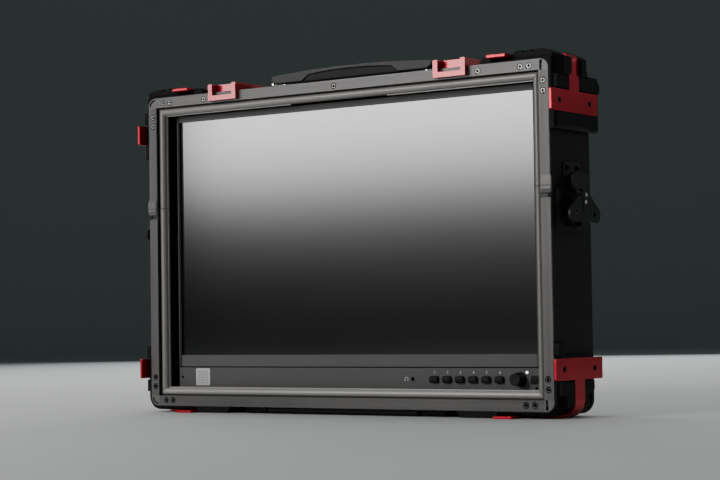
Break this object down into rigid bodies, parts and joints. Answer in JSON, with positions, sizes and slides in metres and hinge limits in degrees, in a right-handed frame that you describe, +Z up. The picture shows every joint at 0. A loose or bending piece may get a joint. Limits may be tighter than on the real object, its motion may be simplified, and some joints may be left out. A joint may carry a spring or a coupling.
{
  "type": "director monitor",
  "caption": "Field director monitor in a split black flight case with grey aluminium frame, red corner straps, pull-up handle, butterfly latches and a row of control buttons.",
  "frame": {"origin": "middle of the plan outline, on the surface that the case stands on", "axes": "+Z up, the screen looks along -Y, +X to the viewer's right"},
  "size_m": [0.6306, 0.1128, 0.4245],
  "materials": {
    "case_black": "matte textured laminate",
    "frame_grey": "gunmetal anodised extrusion",
    "strap_red": "red anodised plate",
    "guard_black": "moulded black elastomer",
    "latch_black": "black coated steel",
    "screw_steel": "bright screws",
    "bracket_steel": "zinc plated steel",
    "handle_grey": "grey moulded plastic",
    "grip_black": "soft grip",
    "chrome": "bright plated",
    "bush_brass": "turned bush",
    "bezel_grey": "dark grey powder coat",
    "cover_black": "black powder coat",
    "screen_black": "dark display surface",
    "board_green": "printed circuit board",
    "control_black": "black control plastic",
    "light_white": "light pipe"
  },
  "bodies": {
    "lower_case": {"lower_shell": "case_black", "bottom_rail": "frame_grey", "lower_side_rails": "frame_grey", "corner_caps_lower": "frame_grey", "corner_keys_lower": "bracket_steel", "case_screws_lower": "screw_steel", "rail_end_caps_lower": "frame_grey", "corner_guards_bottom": "guard_black", "corner_straps_bottom": "strap_red", "base_skid": "guard_black", "closure_tongue": "case_black", "latch_bases": "latch_black", "monitor_bezel": "bezel_grey", "lcd_panel": "screen_black", "control_panel": "bezel_grey", "rear_cover": "cover_black", "monitor_brackets": "bracket_steel", "main_board": "board_green", "control_board": "board_green", "headphone_jack": "control_black", "power_light": "light_white", "panel_screws": "screw_steel", "connector_plate": "cover_black", "bnc_sockets": "chrome", "hdmi_sockets": "chrome", "dc_inlet": "control_black", "encoder_body": "control_black"},
    "upper_case": {"upper_shell": "case_black", "top_rail": "frame_grey", "upper_side_rails": "frame_grey", "corner_caps_upper": "frame_grey", "corner_keys_upper": "bracket_steel", "case_screws_upper": "screw_steel", "rail_end_caps_upper": "frame_grey", "corner_guards_top": "guard_black", "corner_straps_top": "strap_red", "lid_brackets": "strap_red", "latch_keepers": "latch_black", "handle_bushes": "bush_brass"},
    "handle": {"handle_frame": "handle_grey", "handle_grip": "grip_black", "handle_posts": "chrome"},
    "knob": {"knob": "control_black", "encoder_shaft": "chrome"},
    "button_1": {"button_1": "control_black"},
    "button_2": {"button_2": "control_black"},
    "button_3": {"button_3": "control_black"},
    "button_4": {"button_4": "control_black"},
    "button_5": {"button_5": "control_black"},
    "button_6": {"button_6": "control_black"},
    "power_button": {"power_button": "control_black"},
    "latch_cam_right": {"latch_cam_right": "latch_black"},
    "latch_key_right": {"latch_key_right": "latch_black"},
    "latch_slider_right": {"latch_slider_right": "latch_black"},
    "latch_hook_right": {"latch_hook_right": "latch_black"},
    "latch_cam_left": {"latch_cam_left": "latch_black"},
    "latch_key_left": {"latch_key_left": "latch_black"},
    "latch_slider_left": {"latch_slider_left": "latch_black"},
    "latch_hook_left": {"latch_hook_left": "latch_black"}
  },
  "joints": [
    {"name": "upper_case_lift", "type": "slide", "parent": "lower_case", "child": "upper_case", "axis": [0, 0, 1], "range_m": [0, 0.17]},
    {"name": "handle_pull", "type": "slide", "parent": "upper_case", "child": "handle", "axis": [0, 0, 1], "range_m": [0, 0.018]},
    {"name": "button_1_press", "type": "slide", "parent": "lower_case", "child": "button_1", "axis": [0, 1, 0], "range_m": [0, 0.001], "stiffness_N_per_m": 800},
    {"name": "button_2_press", "type": "slide", "parent": "lower_case", "child": "button_2", "axis": [0, 1, 0], "range_m": [0, 0.001], "stiffness_N_per_m": 800},
    {"name": "button_3_press", "type": "slide", "parent": "lower_case", "child": "button_3", "axis": [0, 1, 0], "range_m": [0, 0.001], "stiffness_N_per_m": 800},
    {"name": "button_4_press", "type": "slide", "parent": "lower_case", "child": "button_4", "axis": [0, 1, 0], "range_m": [0, 0.001], "stiffness_N_per_m": 800},
    {"name": "button_5_press", "type": "slide", "parent": "lower_case", "child": "button_5", "axis": [0, 1, 0], "range_m": [0, 0.001], "stiffness_N_per_m": 800},
    {"name": "button_6_press", "type": "slide", "parent": "lower_case", "child": "button_6", "axis": [0, 1, 0], "range_m": [0, 0.001], "stiffness_N_per_m": 800},
    {"name": "power_button_press", "type": "slide", "parent": "lower_case", "child": "power_button", "axis": [0, 1, 0], "range_m": [0, 0.001], "stiffness_N_per_m": 800},
    {"name": "knob_turn", "type": "hinge", "parent": "lower_case", "child": "knob", "pos_m": [0.241, -0.0241, 0.0435], "axis": [0, -1, 0], "continuous": true},
    {"name": "latch_turn_right", "type": "hinge", "parent": "lower_case", "child": "latch_cam_right", "pos_m": [0.2965, 0.0014, 0.2364], "axis": [1, 0, 0], "range_deg": [0, 180]},
    {"name": "latch_key_fold_right", "type": "hinge", "parent": "latch_cam_right", "child": "latch_key_right", "pos_m": [0.3132, 0.0014, 0.246], "axis": [0, -1, 0], "range_deg": [0, 90]},
    {"name": "latch_slide_right", "type": "slide", "parent": "lower_case", "child": "latch_slider_right", "axis": [0, 0, 1], "range_m": [-0.008, 0]},
    {"name": "latch_hook_swing_right", "type": "hinge", "parent": "latch_slider_right", "child": "latch_hook_right", "pos_m": [0.3064, 0.0014, 0.254], "axis": [0, 1, 0], "range_deg": [-8, 0]},
    {"name": "latch_turn_left", "type": "hinge", "parent": "lower_case", "child": "latch_cam_left", "pos_m": [-0.2965, 0.0014, 0.2364], "axis": [-1, 0, 0], "range_deg": [0, 180]},
    {"name": "latch_key_fold_left", "type": "hinge", "parent": "latch_cam_left", "child": "latch_key_left", "pos_m": [-0.3132, 0.0014, 0.246], "axis": [0, 1, 0], "range_deg": [0, 90]},
    {"name": "latch_slide_left", "type": "slide", "parent": "lower_case", "child": "latch_slider_left", "axis": [0, 0, 1], "range_m": [-0.008, 0]},
    {"name": "latch_hook_swing_left", "type": "hinge", "parent": "latch_slider_left", "child": "latch_hook_left", "pos_m": [-0.3064, 0.0014, 0.254], "axis": [0, -1, 0], "range_deg": [-8, 0]}
  ],
  "couplings": [
    {"joint": "latch_slide_right", "follows": "latch_turn_right", "m_per_rad": -0.0025465},
    {"joint": "latch_slide_left", "follows": "latch_turn_left", "m_per_rad": -0.0025465}
  ]
}
